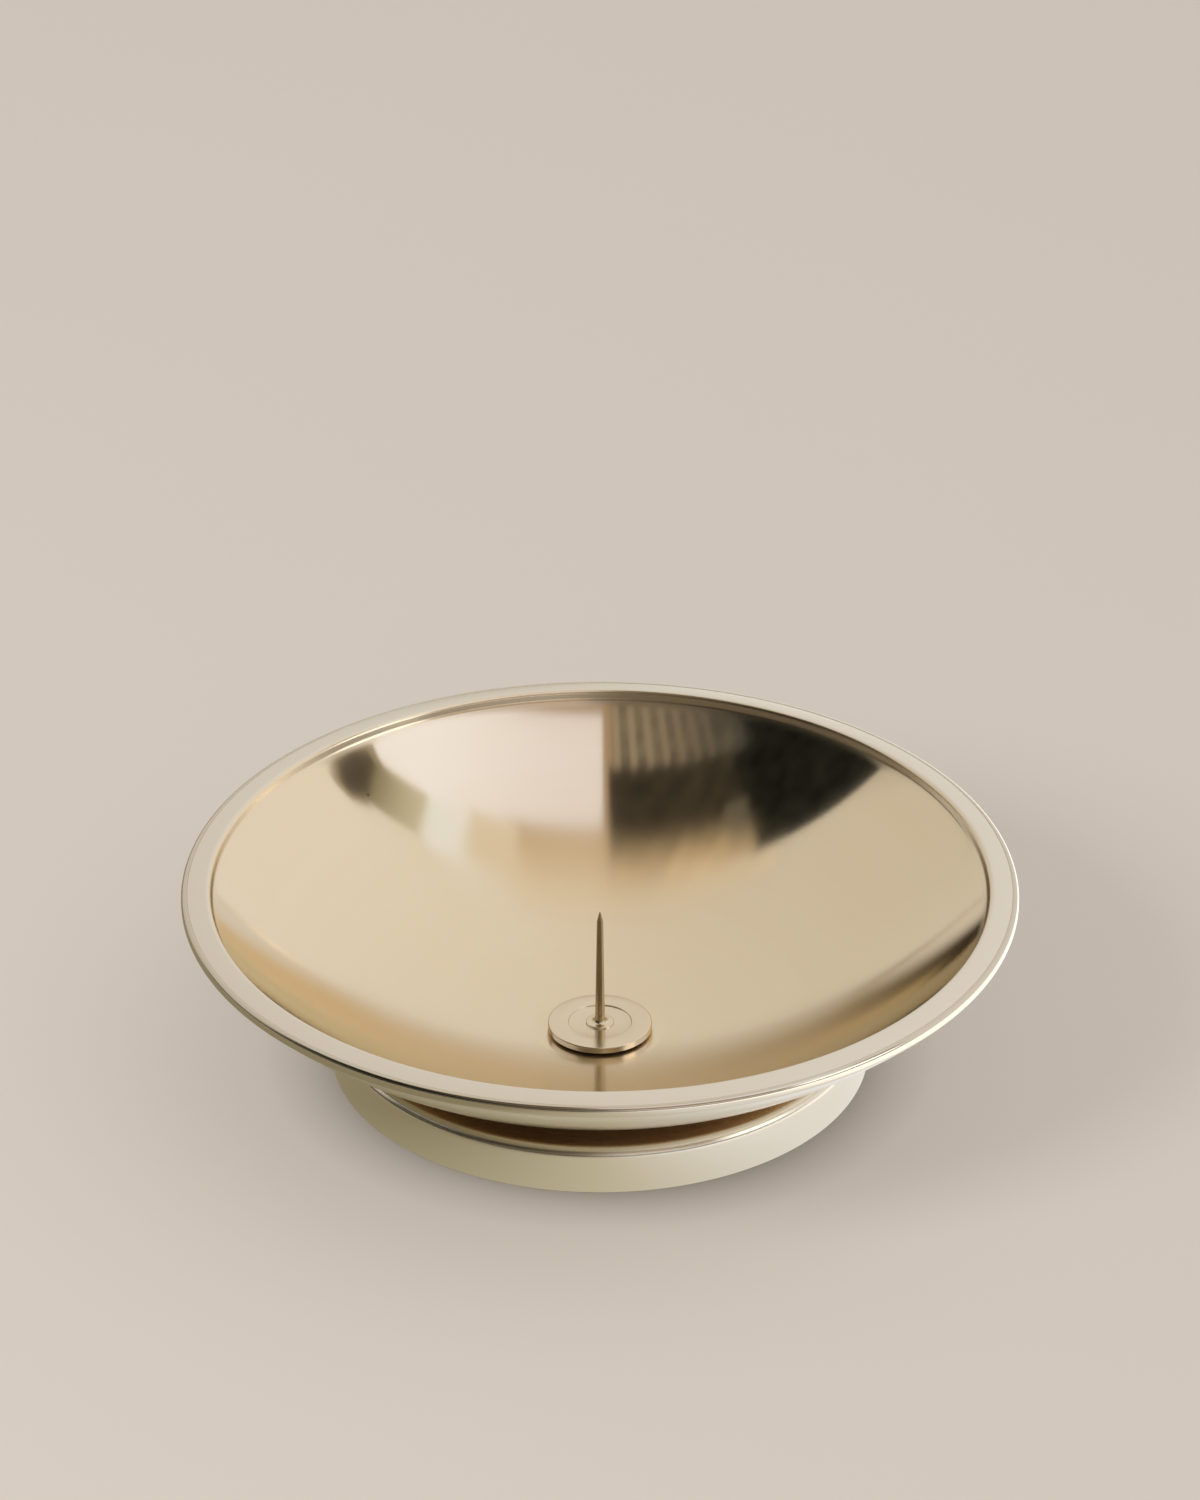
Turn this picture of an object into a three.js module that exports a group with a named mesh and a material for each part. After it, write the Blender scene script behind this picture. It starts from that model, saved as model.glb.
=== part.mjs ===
// Candle dish: a shallow double-walled brass bowl on a low ring foot. A round plate and an upright
// pin at its centre hold one candle.
// Millimetres, +Z up. The origin is the centre of the foot, on the surface that the dish stands on.
import * as THREE from 'three';

// Rim
const rimDiameter = 160;
const rimHeight = 37.05;
const flangeWidth = 4.73;
const flangeFall = THREE.MathUtils.degToRad(12);
const lipBend = 0.2;
const lipWallLength = 0.7;
const lipWallSlope = THREE.MathUtils.degToRad(70);
const coveRound = 1.6;
const beadRound = 1;
const beadWidth = 1.15;
const beadStraight = 0.42;
const ledgeWidth = 1.95;

// Bowl walls
const dishWall = 0.8;
const shellWall = 0.8;
const groundClearance = 3.25;
const dishFlatMargin = 2;
const shellFlatMargin = 1;

// Foot
const footDiameter = 103.2;
const footTopWidth = 12.1;
const footWall = 1;
const footShoulder = 2;
const footDraft = 0.2;
const footEdgeBevel = 0.4;
const hemWidth = 3;
const footSeatWidth = 5;

// Candle plate
const plateDiameter = 20;
const plateThickness = 1.7;
const plateEdgeBevel = 0.25;
const plateUndercutWidth = 1.2;
const plateUndercutHeight = 0.5;
const recessDiameter = 12.1;
const recessDepth = 0.25;
const recessBevel = 0.15;

// Candle pin and its fixing
const pinDiameter = 1.9;
const pinTopDiameter = 1;
const pinLength = 24.4;
const pointLength = 2;
const pointTipRadius = 0.15;
const collarDiameter = 5.4;
const collarHeight = 0.35;
const collarRound = 0.2;
const collarFillet = 0.9;
const shankDiameter = 2.4;
const washerDiameter = 10;
const washerThickness = 0.6;
const headDiameter = 4.6;
const headHeight = 0.9;
const headCrown = 0.5;

// Clearances
const seamGap = 0.2;
const solderGap = 0.2;
const holeClearance = 0.2;

// Facets
const bowlSides = 64;
const plateSides = 48;
const pinSides = 24;
const bowlSteps = 9;
const seatSteps = 2;
const roundSteps = 3;

// Levels and radii that follow from the sizes above, from the floor up
const rimRadius = rimDiameter / 2;
const dishFlatRadius = plateDiameter / 2 + dishFlatMargin;
const shellFlatRadius = dishFlatRadius + shellFlatMargin;
const holeRadius = shankDiameter / 2 + holeClearance;
const shellUnderZ = groundClearance;
const dishUnderZ = shellUnderZ + shellWall;
const dishFloorZ = dishUnderZ + dishWall;
const plateTopZ = dishFloorZ + plateThickness;
const recessFloorZ = plateTopZ - recessDepth;

function point(radius, height) {
  return new THREE.Vector2(radius, height);
}

// Points of an arc about (centreRadius, centreZ). An angle of 0 points away from the axis, and 90
// degrees points up.
function arc(centreRadius, centreZ, radius, fromAngle, toAngle, steps) {
  const points = [];
  for (let step = 0; step <= steps; step += 1) {
    const angle = fromAngle + (toAngle - fromAngle) * step / steps;
    points.push(point(centreRadius + radius * Math.cos(angle), centreZ + radius * Math.sin(angle)));
  }
  return points;
}

// The bowl's curve in section: a circle centred on the axis that starts at the edge of the flat
// floor and runs smoothly into a tighter round inside it, the cove of the dish or the bead of the
// shell.
function bowlCurve(flatRadius, floorZ, edgeCentreRadius, edgeCentreZ, edgeRadius) {
  const rise = edgeCentreZ - floorZ;
  const reach = edgeCentreRadius ** 2 - flatRadius ** 2 + rise ** 2 - edgeRadius ** 2;
  const a = rise ** 2 - edgeRadius ** 2;
  const b = -reach * edgeRadius;
  const c = -(reach ** 2 / 4 + (flatRadius * rise) ** 2);
  const radius = (-b + Math.sqrt(b ** 2 - 4 * a * c)) / (2 * a);
  const centreZ = floorZ + Math.sqrt(radius ** 2 - flatRadius ** 2);
  const edgeAngle = Math.atan2(edgeCentreZ - centreZ, edgeCentreRadius);
  return { radius, centreZ, edgeAngle };
}

// Angle, on a circle about the axis, of its lower point at a given height or radius
function angleAtHeight(centreZ, radius, height) {
  return Math.asin((height - centreZ) / radius);
}

function angleAtRadius(radius, pointRadius) {
  return -Math.acos(pointRadius / radius);
}

// One solid of revolution from its section, listed with the material on the left of the path
function turned(name, section, sides, material) {
  const geometry = new THREE.LatheGeometry(section, sides);
  geometry.rotateX(Math.PI / 2);
  const mesh = new THREE.Mesh(geometry, material);
  mesh.name = name;
  return mesh;
}

function brass(colour, roughness) {
  return new THREE.MeshStandardMaterial({ color: colour, roughness, metalness: 1 });
}

function closed(section) {
  return [...section, section[0].clone()];
}

// The lip and the flange: a small cove turns the bowl up into a steep wall, which bends over at the
// lip into a flange that falls a little towards the rim
const lipRound = lipBend + dishWall;
const lipCentreRadius = rimRadius - flangeWidth;
const lipCentreZ = rimHeight - lipRound;
const flangeAngle = Math.PI / 2 - flangeFall;
const lipAngle = Math.PI / 2 + lipWallSlope;
const seamRadius = rimRadius - beadWidth;
const coveReach = lipRound + coveRound;
const coveCentreRadius = lipCentreRadius + coveReach * Math.cos(lipAngle)
  - lipWallLength * Math.sin(lipAngle);
const coveCentreZ = lipCentreZ + coveReach * Math.sin(lipAngle) + lipWallLength * Math.cos(lipAngle);
const dishCurve = bowlCurve(dishFlatRadius, dishFloorZ, coveCentreRadius, coveCentreZ, coveRound);

// Height of the flange at a radius, on a face that lies the given depth below its top
function flangeZ(radius, depth) {
  const edge = lipCentreZ + (lipRound - depth) / Math.cos(flangeFall);
  return edge - (radius - lipCentreRadius) * Math.tan(flangeFall);
}

// Inner dish, spun from sheet: flat floor, round bowl, cove, steep wall, lip and flange
function innerDish() {
  const { radius, centreZ, edgeAngle } = dishCurve;
  const outerRadius = radius + dishWall;
  const coveEnd = lipAngle - Math.PI;
  const flangeEdge = seamRadius - seamGap;
  const floorAngle = angleAtHeight(centreZ, radius, dishFloorZ);
  const underAngle = angleAtHeight(centreZ, outerRadius, dishUnderZ);
  return turned('inner_dish', closed([
    point(holeRadius, dishUnderZ),
    ...arc(0, centreZ, outerRadius, underAngle, edgeAngle, bowlSteps),
    ...arc(coveCentreRadius, coveCentreZ, coveRound + dishWall, edgeAngle, coveEnd, roundSteps).slice(1),
    ...arc(lipCentreRadius, lipCentreZ, lipBend, lipAngle, flangeAngle, roundSteps),
    point(flangeEdge, flangeZ(flangeEdge, dishWall)),
    point(flangeEdge, flangeZ(flangeEdge, 0)),
    ...arc(lipCentreRadius, lipCentreZ, lipRound, flangeAngle, lipAngle, roundSteps),
    ...arc(coveCentreRadius, coveCentreZ, coveRound, coveEnd, edgeAngle, roundSteps),
    ...arc(0, centreZ, radius, edgeAngle, floorAngle, bowlSteps).slice(1),
    point(holeRadius, dishFloorZ),
  ]), bowlSides, brass(0xc9ad82, 0.28));
}

// Outer shell, spun from sheet: it carries the dish on its floor, and its edge is rolled into a
// bead whose ledge takes the dish's flange
const beadTopZ = flangeZ(seamRadius, 0);
const beadCentreRadius = rimRadius - beadRound;
const beadUpperZ = beadTopZ - beadRound;
const beadLowerZ = beadUpperZ - beadStraight;
const shellCurve = bowlCurve(shellFlatRadius, shellUnderZ, beadCentreRadius, beadLowerZ, beadRound);

function outerShell() {
  const { radius, centreZ, edgeAngle } = shellCurve;
  const innerRadius = radius - shellWall;
  const ledgeRadius = seamRadius - ledgeWidth;
  const ledgeDepth = dishWall + solderGap;
  const underAngle = angleAtHeight(centreZ, radius, shellUnderZ);
  const floorAngle = angleAtHeight(centreZ, innerRadius, dishUnderZ);
  const ledgeAngle = angleAtRadius(innerRadius, ledgeRadius);
  return turned('outer_shell', closed([
    point(holeRadius, shellUnderZ),
    ...arc(0, centreZ, radius, underAngle, edgeAngle, bowlSteps),
    ...arc(beadCentreRadius, beadLowerZ, beadRound, edgeAngle, 0, roundSteps).slice(1),
    ...arc(beadCentreRadius, beadUpperZ, beadRound, 0, Math.PI / 2, roundSteps),
    point(seamRadius, beadTopZ),
    point(seamRadius, flangeZ(seamRadius, ledgeDepth)),
    point(ledgeRadius, flangeZ(ledgeRadius, ledgeDepth)),
    ...arc(0, centreZ, innerRadius, ledgeAngle, floorAngle, bowlSteps),
    point(holeRadius, dishUnderZ),
  ]), bowlSides, brass(0xc4b494, 0.38));
}

// Foot ring, spun from sheet and open below: hemmed lower edge, straight wall, round shoulder, flat
// top, and a seat that follows the shell's underside where the two are soldered together
function footRing() {
  const { radius, centreZ } = shellCurve;
  const footRadius = footDiameter / 2;
  const seatRadius = radius + solderGap;
  const seatUnderRadius = seatRadius + footWall;
  const seatOuter = angleAtRadius(seatRadius, footRadius - footTopWidth);
  const seatInner = angleAtRadius(seatRadius, footRadius - footTopWidth - footSeatWidth);
  const topZ = centreZ + seatRadius * Math.sin(seatOuter);
  const seatUnderOuter = angleAtHeight(centreZ, seatUnderRadius, topZ - footWall);
  const wallTopRadius = footRadius - footDraft;
  const shoulderRadius = wallTopRadius - footShoulder;
  const shoulderZ = topZ - footShoulder;
  return turned('foot_ring', closed([
    point(footRadius - hemWidth, 0),
    point(footRadius - footEdgeBevel, 0),
    point(footRadius, footEdgeBevel),
    ...arc(shoulderRadius, shoulderZ, footShoulder, 0, Math.PI / 2, roundSteps),
    ...arc(0, centreZ, seatRadius, seatOuter, seatInner, seatSteps),
    ...arc(0, centreZ, seatUnderRadius, seatInner, seatUnderOuter, seatSteps),
    ...arc(shoulderRadius, shoulderZ, footShoulder - footWall, Math.PI / 2, 0, roundSteps),
    point(footRadius - footWall, footWall),
    point(footRadius - hemWidth, footWall),
  ]), bowlSides, brass(0xc2b594, 0.42));
}

// Candle plate: a turned disc with a shallow round recess for the pin's collar. Its underside is
// bevelled, so that its edge stands clear of the dish
function candlePlate() {
  const plateRadius = plateDiameter / 2;
  const recessRadius = recessDiameter / 2;
  return turned('candle_plate', closed([
    point(holeRadius, dishFloorZ),
    point(plateRadius - plateUndercutWidth, dishFloorZ),
    point(plateRadius, dishFloorZ + plateUndercutHeight),
    point(plateRadius, plateTopZ - plateEdgeBevel),
    point(plateRadius - plateEdgeBevel, plateTopZ),
    point(recessRadius, plateTopZ),
    point(recessRadius - recessBevel, recessFloorZ),
    point(holeRadius, recessFloorZ),
  ]), plateSides, brass(0xcdb48c, 0.25));
}

// Candle pin: a slender tapered spike that flares into a low collar. Its shank goes down through the
// plate, the dish, the shell and the washer, and is hammered over below to hold them together
const washerUnderZ = shellUnderZ - washerThickness;

function candlePin() {
  const pinRadius = pinDiameter / 2;
  const pinTopRadius = pinTopDiameter / 2;
  const pointTaper = Math.atan2(pinTopRadius - pointTipRadius, pointLength - pointTipRadius);
  const collarRadius = collarDiameter / 2;
  const flare = Math.min(collarFillet, collarRadius - collarRound - pinRadius);
  const shankRadius = shankDiameter / 2;
  const headRadius = headDiameter / 2;
  const collarTopZ = recessFloorZ + collarHeight;
  const tipZ = plateTopZ + pinLength;
  const headEdgeZ = washerUnderZ - (headHeight - headCrown);
  const headSphere = (headRadius ** 2 + headCrown ** 2) / (2 * headCrown);
  const headCentreZ = headEdgeZ - headCrown + headSphere;
  const headEdgeAngle = angleAtRadius(headSphere, headRadius);
  return turned('candle_pin', [
    ...arc(0, headCentreZ, headSphere, -Math.PI / 2, headEdgeAngle, roundSteps),
    point(headRadius, washerUnderZ),
    point(shankRadius, washerUnderZ),
    point(shankRadius, recessFloorZ),
    point(collarRadius, recessFloorZ),
    ...arc(collarRadius - collarRound, collarTopZ - collarRound, collarRound, 0, Math.PI / 2, roundSteps),
    ...arc(pinRadius + flare, collarTopZ + flare, flare, -Math.PI / 2, -Math.PI, roundSteps),
    point(pinTopRadius, tipZ - pointLength),
    ...arc(0, tipZ - pointTipRadius, pointTipRadius, pointTaper, Math.PI / 2, roundSteps),
  ], pinSides, brass(0xb39a68, 0.3));
}

// Washer between the shell and the pin's hammered end
function rivetWasher() {
  return turned('rivet_washer', closed([
    point(holeRadius, washerUnderZ),
    point(washerDiameter / 2, washerUnderZ),
    point(washerDiameter / 2, shellUnderZ),
    point(holeRadius, shellUnderZ),
  ]), plateSides, brass(0xb89f6e, 0.4));
}

const candleDish = new THREE.Group();
candleDish.add(outerShell(), innerDish(), footRing(), rivetWasher(), candlePlate(), candlePin());

export default candleDish;
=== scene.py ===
"""Candle dish: a shallow double-walled brass bowl on a ring foot, with a plate and a pin for one candle.

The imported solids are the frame, in metres with +Z up. Each section below makes one piece of the dish, in
the order in which the dish is put together, and the last sections set the floor, the light and the camera.
"""

import math

import bmesh
import bpy
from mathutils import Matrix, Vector, noise


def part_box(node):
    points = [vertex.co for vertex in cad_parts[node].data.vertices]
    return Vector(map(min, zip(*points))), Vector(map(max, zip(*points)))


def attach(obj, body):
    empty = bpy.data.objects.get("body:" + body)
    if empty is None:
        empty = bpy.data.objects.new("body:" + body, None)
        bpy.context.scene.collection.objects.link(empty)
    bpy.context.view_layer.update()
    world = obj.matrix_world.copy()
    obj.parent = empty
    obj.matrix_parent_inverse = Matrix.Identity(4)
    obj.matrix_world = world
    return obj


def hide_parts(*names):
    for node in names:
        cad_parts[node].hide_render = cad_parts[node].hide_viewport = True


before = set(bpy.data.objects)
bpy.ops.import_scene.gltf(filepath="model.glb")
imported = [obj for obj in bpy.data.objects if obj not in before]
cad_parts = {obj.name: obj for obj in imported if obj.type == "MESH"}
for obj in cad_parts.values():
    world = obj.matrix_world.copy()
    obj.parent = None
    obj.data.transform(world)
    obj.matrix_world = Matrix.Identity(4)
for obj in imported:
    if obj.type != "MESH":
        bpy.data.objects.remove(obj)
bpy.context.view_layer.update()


# Outer shell: the underside of the bowl, a sheet of pale brass spun over a former.
# Its edge is rolled into a polished bead, the widest ring of the rim, and its floor carries the dish.
MM = 0.001
shell_low, shell_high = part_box("outer_shell")
rim_radius = shell_high.x
bead_top = shell_high.z
shell_under = shell_low.z
shell_wall = 0.8 * MM
shell_flat = 13 * MM
bead_round = 1.0 * MM
bead_straight = 0.42 * MM
bead_width = 1.15 * MM
seam_edge = 0.03 * MM
ledge_width = 1.95 * MM
ledge_drop = 1.05 * MM
shank_hole = 1.4 * MM
bowl_sides = 288
shell_pale = (0.70, 0.65, 0.567)
shell_deep = (0.66, 0.60, 0.498)
# The orange-brown below is not the brass's own colour but a painted glow of light bouncing in the crevice
# over the foot.
shell_crevice_painted_glow = (0.86, 0.62, 0.37)
shell_rough = (0.14, 0.19)
shell_line_width = 1.1 * MM
shell_line_depth = 0.002 * MM
shell_stretch = 0.3
crevice_edge = 50 * MM
crevice_inside = 44 * MM
crevice_rough = 0.30


def arc(centre, radius, from_angle, to_angle, steps):
    """Points of an arc in the section, as (radius, height). An angle of 0 points away from the axis."""
    turn = (to_angle - from_angle) / steps
    angles = [from_angle + turn * step for step in range(steps + 1)]
    return [(centre[0] + radius * math.cos(a), centre[1] + radius * math.sin(a)) for a in angles]


def bowl_curve(flat_radius, floor, edge_centre, edge_round):
    """Radius, centre height and last angle of the bowl's circle.

    The circle runs from the edge of the flat floor to a tighter round that lies inside it.
    """
    rise = edge_centre[1] - floor
    reach = edge_centre[0] ** 2 - flat_radius ** 2 + rise ** 2 - edge_round ** 2
    a = rise ** 2 - edge_round ** 2
    b = -reach * edge_round
    c = -(reach ** 2 / 4 + (flat_radius * rise) ** 2)
    radius = (-b + math.sqrt(b ** 2 - 4 * a * c)) / (2 * a)
    centre = floor + math.sqrt(radius ** 2 - flat_radius ** 2)
    return radius, centre, math.atan2(edge_centre[1] - centre, edge_centre[0])


def angle_at_height(centre, radius, height):
    """Angle at which a circle centred on the axis reaches a height."""
    return math.asin((height - centre) / radius)


def angle_at_radius(radius, distance):
    """Angle at which the lower half of a circle centred on the axis reaches a distance from the axis."""
    return -math.acos(distance / radius)


def new_node(tree, kind, place, **settings):
    """Adds a node to a tree at a place, with its settings."""
    node = tree.nodes.new(kind)
    node.location = place
    for name, value in settings.items():
        setattr(node, name, value)
    return node


def make_spinning_tree():
    """Geometry nodes that turn a section, drawn as a chain of points, round the upright axis."""
    tree = bpy.data.node_groups.new("spun_round_the_axis", "GeometryNodeTree")
    for name, kind in (("Section", "Geometry"), ("Sides", "Int"), ("Weld", "Float"), ("Finish", "Material")):
        tree.interface.new_socket(name, in_out="INPUT", socket_type="NodeSocket" + kind)
    tree.interface.new_socket("Piece", in_out="OUTPUT", socket_type="NodeSocketGeometry")
    given = new_node(tree, "NodeGroupInput", (-1200, 0))
    count = new_node(tree, "GeometryNodeAttributeDomainSize", (-1000, 200))
    columns = new_node(tree, "FunctionNodeIntegerMath", (-1000, 0), operation="ADD")
    columns.inputs[1].default_value = 1
    grid = new_node(tree, "GeometryNodeMeshGrid", (-800, 200))
    index = new_node(tree, "GeometryNodeInputIndex", (-1000, -200))
    row = new_node(tree, "FunctionNodeIntegerMath", (-800, -100), operation="DIVIDE_FLOOR")
    column = new_node(tree, "FunctionNodeIntegerMath", (-800, -300), operation="MODULO")
    place = new_node(tree, "GeometryNodeInputPosition", (-800, -450))
    section = new_node(tree, "GeometryNodeSampleIndex", (-600, -100), domain="POINT")
    section.data_type = "FLOAT_VECTOR"
    share = new_node(tree, "ShaderNodeMath", (-600, -300), operation="DIVIDE")
    angle = new_node(tree, "ShaderNodeMath", (-400, -300), operation="MULTIPLY")
    angle.inputs[1].default_value = 2 * math.pi
    turned = new_node(tree, "ShaderNodeVectorRotate", (-400, -100), rotation_type="Z_AXIS")
    placed = new_node(tree, "GeometryNodeSetPosition", (-200, 100))
    welded = new_node(tree, "GeometryNodeMergeByDistance", (0, 100))
    smooth = new_node(tree, "GeometryNodeSetShadeSmooth", (200, 100))
    plain = new_node(tree, "GeometryNodeRealizeInstances", (400, 100))
    finished = new_node(tree, "GeometryNodeSetMaterial", (600, 100))
    result = new_node(tree, "NodeGroupOutput", (800, 100))
    link = tree.links.new
    link(given.outputs["Section"], count.inputs["Geometry"])
    link(given.outputs["Sides"], columns.inputs[0])
    link(count.outputs["Point Count"], grid.inputs["Vertices X"])
    link(columns.outputs[0], grid.inputs["Vertices Y"])
    link(index.outputs[0], row.inputs[0])
    link(columns.outputs[0], row.inputs[1])
    link(index.outputs[0], column.inputs[0])
    link(columns.outputs[0], column.inputs[1])
    link(given.outputs["Section"], section.inputs["Geometry"])
    link(place.outputs[0], section.inputs["Value"])
    link(row.outputs[0], section.inputs["Index"])
    link(column.outputs[0], share.inputs[0])
    link(given.outputs["Sides"], share.inputs[1])
    link(share.outputs[0], angle.inputs[0])
    link(section.outputs["Value"], turned.inputs["Vector"])
    link(angle.outputs[0], turned.inputs["Angle"])
    link(grid.outputs["Mesh"], placed.inputs["Geometry"])
    link(turned.outputs[0], placed.inputs["Position"])
    link(placed.outputs["Geometry"], welded.inputs["Geometry"])
    link(given.outputs["Weld"], welded.inputs["Distance"])
    link(welded.outputs["Geometry"], smooth.inputs["Geometry"])
    link(smooth.outputs["Geometry"], plain.inputs["Geometry"])
    link(plain.outputs["Geometry"], finished.inputs["Geometry"])
    link(given.outputs["Finish"], finished.inputs["Material"])
    link(finished.outputs["Geometry"], result.inputs["Piece"])
    return tree


spinning_tree = make_spinning_tree()
weld_distance = 0.0005 * MM
crisp_corner = math.radians(32)


def spun(name, section, sides, finish):
    """One closed piece turned from its section, with crisp corners and faces that point outwards."""
    chain = bpy.data.meshes.new(name + "_section")
    chain.from_pydata([(r, 0, z) for r, z in section], [(i, i + 1) for i in range(len(section) - 1)], [])
    former = bpy.data.objects.new(name + "_former", chain)
    bpy.context.scene.collection.objects.link(former)
    spin = former.modifiers.new("spin", "NODES")
    spin.node_group = spinning_tree
    sockets = {s.name: s.identifier for s in spinning_tree.interface.items_tree if s.in_out == "INPUT"}
    spin[sockets["Sides"]] = sides
    spin[sockets["Weld"]] = weld_distance
    spin[sockets["Finish"]] = finish
    bpy.context.view_layer.update()
    evaluated = former.evaluated_get(bpy.context.evaluated_depsgraph_get())
    mesh = bpy.data.meshes.new_from_object(evaluated)
    mesh.name = name
    former.modifiers.remove(spin)
    bpy.data.objects.remove(former)
    bpy.data.meshes.remove(chain)
    shape = bmesh.new()
    shape.from_mesh(mesh)
    bmesh.ops.remove_doubles(shape, verts=shape.verts, dist=weld_distance)
    bmesh.ops.recalc_face_normals(shape, faces=shape.faces)
    shape.to_mesh(mesh)
    shape.free()
    mesh.set_sharp_from_angle(angle=crisp_corner)
    piece = bpy.data.objects.new(name, mesh)
    bpy.context.scene.collection.objects.link(piece)
    return piece


def make_spin_lines():
    """Shader group: the fine rings that a spinning tool and a brush leave round the axis."""
    group = bpy.data.node_groups.new("spin_lines", "ShaderNodeTree")
    for name in ("Line Width", "Band Width", "Wander"):
        group.interface.new_socket(name, in_out="INPUT", socket_type="NodeSocketFloat")
    for name in ("Lines", "Bands"):
        group.interface.new_socket(name, in_out="OUTPUT", socket_type="NodeSocketFloat")
    given = new_node(group, "NodeGroupInput", (-1200, 0))
    result = new_node(group, "NodeGroupOutput", (600, 0))
    coords = new_node(group, "ShaderNodeTexCoord", (-1200, 300))
    apart = new_node(group, "ShaderNodeSeparateXYZ", (-1000, 300))
    level = new_node(group, "ShaderNodeCombineXYZ", (-800, 400))
    distance = new_node(group, "ShaderNodeVectorMath", (-600, 400), operation="LENGTH")
    heading = new_node(group, "ShaderNodeVectorMath", (-600, 200), operation="NORMALIZE")
    swung = new_node(group, "ShaderNodeVectorMath", (-400, 200), operation="SCALE")
    swing = new_node(group, "ShaderNodeSeparateXYZ", (-200, 200))
    link = group.links.new
    link(coords.outputs["Object"], apart.inputs[0])
    link(apart.outputs["X"], level.inputs["X"])
    link(apart.outputs["Y"], level.inputs["Y"])
    link(level.outputs[0], distance.inputs[0])
    link(level.outputs[0], heading.inputs[0])
    link(heading.outputs[0], swung.inputs[0])
    link(given.outputs["Wander"], swung.inputs["Scale"])
    link(swung.outputs[0], swing.inputs[0])
    ring_sizes = (("Line Width", "Lines", 3.0), ("Band Width", "Bands", 2.0))
    for row, (width, output, detail) in enumerate(ring_sizes):
        out = new_node(group, "ShaderNodeMath", (-200, -200 * row), operation="DIVIDE")
        up = new_node(group, "ShaderNodeMath", (-200, -200 * row - 100), operation="DIVIDE")
        ring = new_node(group, "ShaderNodeCombineXYZ", (0, -200 * row))
        rings = new_node(group, "ShaderNodeTexNoise", (200, -200 * row), noise_dimensions="4D")
        rings.inputs["Scale"].default_value = 1.0
        rings.inputs["Detail"].default_value = detail
        rings.inputs["Roughness"].default_value = 0.6
        link(distance.outputs["Value"], out.inputs[0])
        link(given.outputs[width], out.inputs[1])
        link(apart.outputs["Z"], up.inputs[0])
        link(given.outputs[width], up.inputs[1])
        link(out.outputs[0], ring.inputs["X"])
        link(up.outputs[0], ring.inputs["Y"])
        link(swing.outputs["X"], ring.inputs["Z"])
        link(ring.outputs[0], rings.inputs["Vector"])
        link(swing.outputs["Y"], rings.inputs["W"])
        link(rings.outputs["Fac"], result.inputs[output])
    return group


def make_handling():
    """Shader group: soft smudges from hands and a cloth, and small dark specks of tarnish."""
    group = bpy.data.node_groups.new("handling", "ShaderNodeTree")
    for name in ("Smudge Size", "Speck Spacing"):
        group.interface.new_socket(name, in_out="INPUT", socket_type="NodeSocketFloat")
    for name in ("Smudge", "Specks"):
        group.interface.new_socket(name, in_out="OUTPUT", socket_type="NodeSocketFloat")
    given = new_node(group, "NodeGroupInput", (-1000, 0))
    result = new_node(group, "NodeGroupOutput", (600, 0))
    coords = new_node(group, "ShaderNodeTexCoord", (-1000, 300))
    broad = new_node(group, "ShaderNodeVectorMath", (-800, 300), operation="DIVIDE")
    fine = new_node(group, "ShaderNodeVectorMath", (-800, 0), operation="DIVIDE")
    smudge = new_node(group, "ShaderNodeTexNoise", (-600, 300))
    smudge.inputs["Scale"].default_value = 1.0
    smudge.inputs["Detail"].default_value = 4.0
    smudge.inputs["Distortion"].default_value = 0.6
    clear = new_node(group, "ShaderNodeMapRange", (-400, 300), interpolation_type="SMOOTHSTEP")
    clear.inputs["From Min"].default_value = 0.38
    clear.inputs["From Max"].default_value = 0.68
    cells = new_node(group, "ShaderNodeTexVoronoi", (-600, 0))
    cells.inputs["Scale"].default_value = 1.0
    lottery = new_node(group, "ShaderNodeSeparateColor", (-400, -150))
    chosen = new_node(group, "ShaderNodeMath", (-200, -150), operation="GREATER_THAN")
    chosen.inputs[1].default_value = 0.82
    spot = new_node(group, "ShaderNodeMapRange", (-400, 0), interpolation_type="SMOOTHSTEP")
    spot.inputs["From Min"].default_value = 0.05
    spot.inputs["From Max"].default_value = 0.02
    specks = new_node(group, "ShaderNodeMath", (0, 0), operation="MULTIPLY")
    link = group.links.new
    link(coords.outputs["Object"], broad.inputs[0])
    link(given.outputs["Smudge Size"], broad.inputs[1])
    link(coords.outputs["Object"], fine.inputs[0])
    link(given.outputs["Speck Spacing"], fine.inputs[1])
    link(broad.outputs[0], smudge.inputs["Vector"])
    link(smudge.outputs["Fac"], clear.inputs["Value"])
    link(fine.outputs[0], cells.inputs["Vector"])
    link(cells.outputs["Distance"], spot.inputs["Value"])
    link(cells.outputs["Color"], lottery.inputs[0])
    link(lottery.outputs[0], chosen.inputs[0])
    link(spot.outputs[0], specks.inputs[0])
    link(chosen.outputs[0], specks.inputs[1])
    link(clear.outputs[0], result.inputs["Smudge"])
    link(specks.outputs[0], result.inputs["Specks"])
    return group


spin_lines = make_spin_lines()
handling = make_handling()
lines_in_a_band = 9
ring_wander = 0.6
smudge_size = 28 * MM
smudge_strength = 0.25
speck_spacing = 11 * MM
speck_strength = 0.7
tarnish_share = 0.25


def map_range(tree, source, place, low, high):
    """Spreads a 0 to 1 mask over the values from low to high."""
    spread = new_node(tree, "ShaderNodeMapRange", place)
    spread.inputs["To Min"].default_value = low
    spread.inputs["To Max"].default_value = high
    tree.links.new(source, spread.inputs["Value"])
    return spread.outputs["Result"]


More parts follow.
